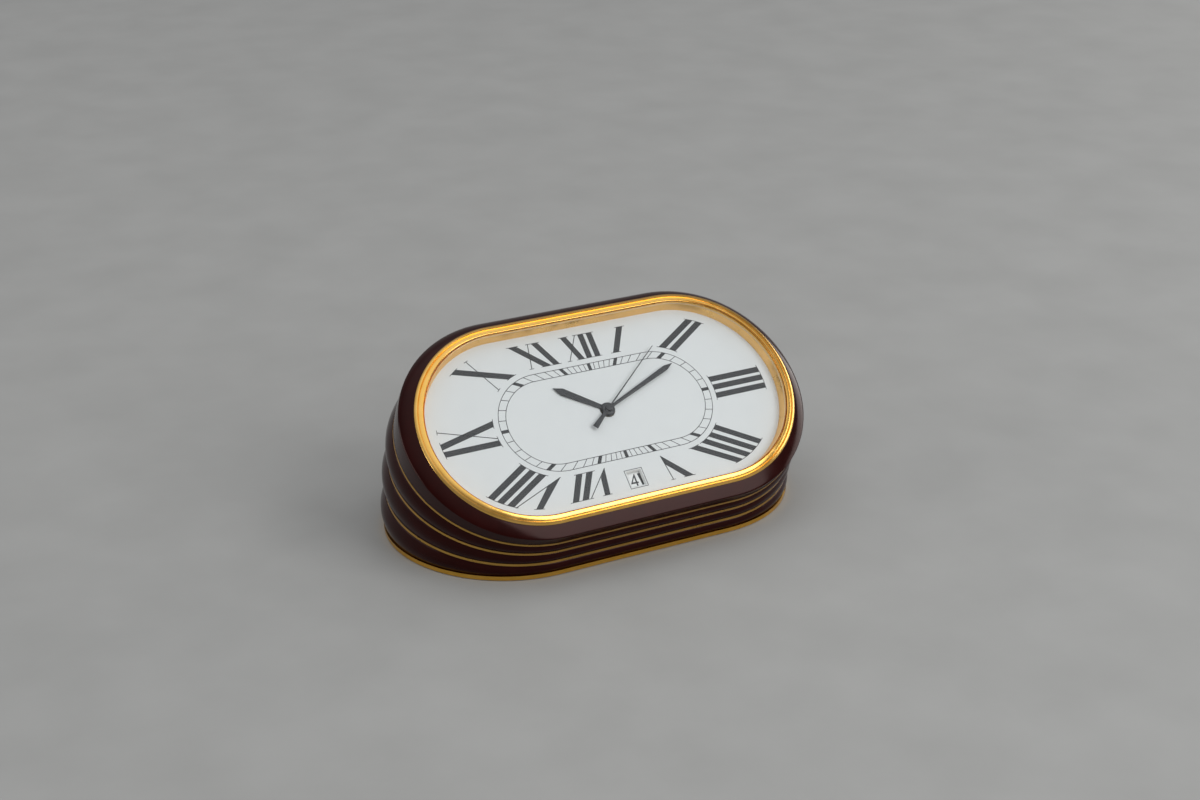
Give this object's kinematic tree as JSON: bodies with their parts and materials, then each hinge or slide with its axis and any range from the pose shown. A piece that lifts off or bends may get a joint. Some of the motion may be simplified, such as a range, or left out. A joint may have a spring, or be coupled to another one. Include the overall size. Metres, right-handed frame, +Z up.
{
  "type": "desk clock with calendar",
  "caption": "Leaning oval quartz desk clock on a flat gilt base, with lacquered gadroons, gilt bezel, Roman dial, three hands and a date window.",
  "frame": {"origin": "resting plane, under the middle of the whole clock; the middle of the base plate is 1.39 mm behind it", "axes": "+X to three o'clock, +Y to the back of the clock, +Z up; the dial leans back, its normal lies between -Y and +Z"},
  "size_m": [0.1036, 0.0624, 0.0465],
  "materials": {
    "lacquer": "glossy dark burgundy lacquer",
    "gilt": "polished gilt",
    "base_gilt": "satin gilt",
    "felt": "dense felt",
    "lens": "clear mineral glass",
    "gasket": "soft black gasket",
    "dial_paint": "fine matt white paint",
    "hand_paint": "satin black",
    "calendar_paint": "matt white paint",
    "plastic_white": "moulded plastic",
    "plastic_black": "moulded plastic",
    "movement_brass": "grained brass",
    "steel": "turned steel",
    "circuit_green": "solder-masked board",
    "copper_wire": "enamelled copper wire",
    "cell_steel": "nickel-plated steel"
  },
  "bodies": {
    "case": {"base_plate": "base_gilt", "felt_sheet": "felt", "base_screws": "steel", "gadroon_1": "lacquer", "gadroon_2": "lacquer", "gadroon_3": "lacquer", "gadroon_4": "lacquer", "gilt_band_1": "gilt", "gilt_band_2": "gilt", "gilt_band_3": "gilt", "bezel": "gilt", "crystal": "lens", "crystal_gasket": "gasket", "rehaut_ring": "gilt", "dial": "dial_paint", "movement_holder": "plastic_white", "holder_screws": "steel", "main_plate": "movement_brass", "train_bridge": "movement_brass", "movement_screws": "steel", "stator": "steel", "coil_core": "steel", "coil_winding": "copper_wire", "circuit_board": "circuit_green", "circuit_chip": "plastic_black", "quartz_can": "cell_steel", "battery": "cell_steel", "battery_strap": "steel", "strap_screw": "steel", "date_jumper": "steel"},
    "minute_hand": {"minute_hand": "hand_paint", "cannon_pinion": "movement_brass"},
    "hour_hand": {"hour_hand": "hand_paint", "hour_wheel": "movement_brass"},
    "minute_wheel": {"minute_wheel": "movement_brass"},
    "setting_knob": {"setting_knob": "plastic_black", "setting_stem": "steel"},
    "date_driver": {"date_driver": "plastic_black"},
    "date_ring": {"date_ring": "calendar_paint"},
    "seconds_hand": {"seconds_hand": "hand_paint", "seconds_wheel": "movement_brass"},
    "third_wheel": {"third_wheel": "movement_brass"},
    "centre_wheel": {"centre_wheel": "movement_brass"},
    "step_wheel": {"step_wheel": "plastic_black"},
    "rotor": {"rotor": "steel"},
    "date_corrector": {"date_corrector": "plastic_black"},
    "battery_hatch": {"battery_hatch": "base_gilt"}
  },
  "joints": [
    {"name": "minute_turn", "type": "hinge", "parent": "case", "child": "minute_hand", "pos_m": [0, -0.00869, 0.02953], "axis": [0, 0.6228, -0.7824], "continuous": true},
    {"name": "hour_turn", "type": "hinge", "parent": "case", "child": "hour_hand", "pos_m": [0, -0.00869, 0.02953], "axis": [0, 0.6228, -0.7824], "continuous": true},
    {"name": "minute_wheel_turn", "type": "hinge", "parent": "case", "child": "minute_wheel", "pos_m": [0, -0.01338, 0.0258], "axis": [0, 0.6228, -0.7824], "continuous": true},
    {"name": "setting_turn", "type": "hinge", "parent": "case", "child": "setting_knob", "pos_m": [0, -0.01807, 0.02206], "axis": [0, 0.6228, -0.7824], "continuous": true},
    {"name": "date_driver_turn", "type": "hinge", "parent": "case", "child": "date_driver", "pos_m": [-0.00779, -0.00517, 0.03234], "axis": [0, 0.6228, -0.7824], "continuous": true},
    {"name": "date_ring_turn", "type": "hinge", "parent": "case", "child": "date_ring", "pos_m": [0, -0.00869, 0.02953], "axis": [0, 0.6228, -0.7824], "continuous": true},
    {"name": "seconds_turn", "type": "hinge", "parent": "case", "child": "seconds_hand", "pos_m": [0, -0.00869, 0.02953], "axis": [0, 0.6228, -0.7824], "continuous": true},
    {"name": "third_wheel_turn", "type": "hinge", "parent": "case", "child": "third_wheel", "pos_m": [0.00624, -0.0115, 0.02729], "axis": [0, 0.6228, -0.7824], "continuous": true},
    {"name": "centre_wheel_turn", "type": "hinge", "parent": "case", "child": "centre_wheel", "pos_m": [0, -0.00869, 0.02953], "axis": [0, 0.6228, -0.7824], "continuous": true},
    {"name": "step_wheel_turn", "type": "hinge", "parent": "case", "child": "step_wheel", "pos_m": [-0.0063, -0.00584, 0.0318], "axis": [0, 0.6228, -0.7824], "continuous": true},
    {"name": "rotor_turn", "type": "hinge", "parent": "case", "child": "rotor", "pos_m": [-0.00991, -0.00584, 0.0318], "axis": [0, 0.6228, -0.7824], "continuous": true},
    {"name": "date_push", "type": "slide", "parent": "case", "child": "date_corrector", "axis": [0, -0.6228, 0.7824], "range_m": [0, 0.001], "stiffness_N_per_m": 400},
    {"name": "hatch_turn", "type": "hinge", "parent": "case", "child": "battery_hatch", "pos_m": [0, 0.00163, 0.0007], "axis": [0, 0, 1], "range_deg": [0, 30]}
  ],
  "couplings": [
    {"joint": "hour_turn", "follows": "minute_turn", "ratio": 0.083333},
    {"joint": "minute_wheel_turn", "follows": "minute_turn", "ratio": -0.33333},
    {"joint": "setting_turn", "follows": "minute_turn", "ratio": 1},
    {"joint": "date_driver_turn", "follows": "minute_turn", "ratio": -0.041667},
    {"joint": "date_ring_turn", "follows": "minute_turn", "ratio": -0.0013441},
    {"joint": "third_wheel_turn", "follows": "seconds_turn", "ratio": -0.13333},
    {"joint": "centre_wheel_turn", "follows": "seconds_turn", "ratio": 0.016667},
    {"joint": "step_wheel_turn", "follows": "seconds_turn", "ratio": -6},
    {"joint": "rotor_turn", "follows": "seconds_turn", "ratio": 30}
  ]
}
